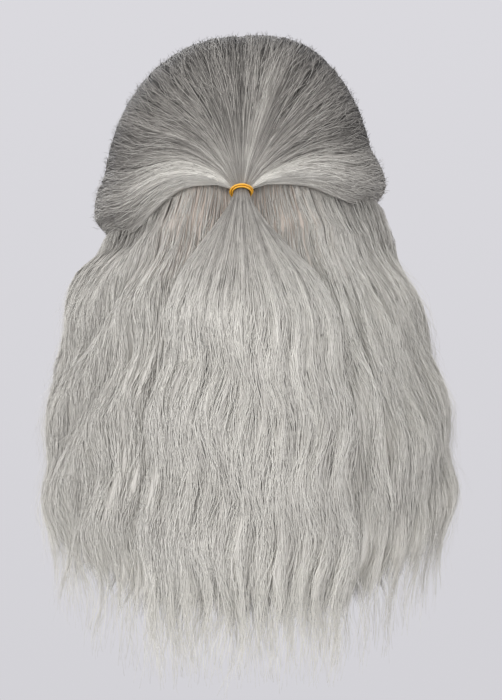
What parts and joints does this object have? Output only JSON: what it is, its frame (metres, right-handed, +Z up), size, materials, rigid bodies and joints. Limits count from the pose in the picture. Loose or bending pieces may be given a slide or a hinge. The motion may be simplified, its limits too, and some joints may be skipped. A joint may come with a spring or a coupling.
{
  "type": "wig",
  "caption": "Long grey wig in a half-up style: a net cap, hair swept back to an elastic tie at the back of the head, a ponytail and loose wavy hair round it.",
  "frame": {"origin": "inside of the net cap at the top of the head, where the wearer's crown touches it", "axes": "+Z up, the wearer faces -Y, and +X is to the wearer's left"},
  "size_m": [0.2908, 0.2365, 0.4398],
  "materials": {
    "cap_net": "matt skin-toned net",
    "crown_hair": "dark grey fibre, satin",
    "tie_rubber": "translucent orange-yellow rubber, satin",
    "long_hair": "silver-grey fibre, satin"
  },
  "bodies": {
    "root": {"net_cap": "cap_net", "swept_crown_hair": "crown_hair", "hair_tie": "tie_rubber", "ponytail": "long_hair", "left_loose_hair": "long_hair", "back_loose_hair": "long_hair", "right_loose_hair": "long_hair"}
  },
  "joints": []
}
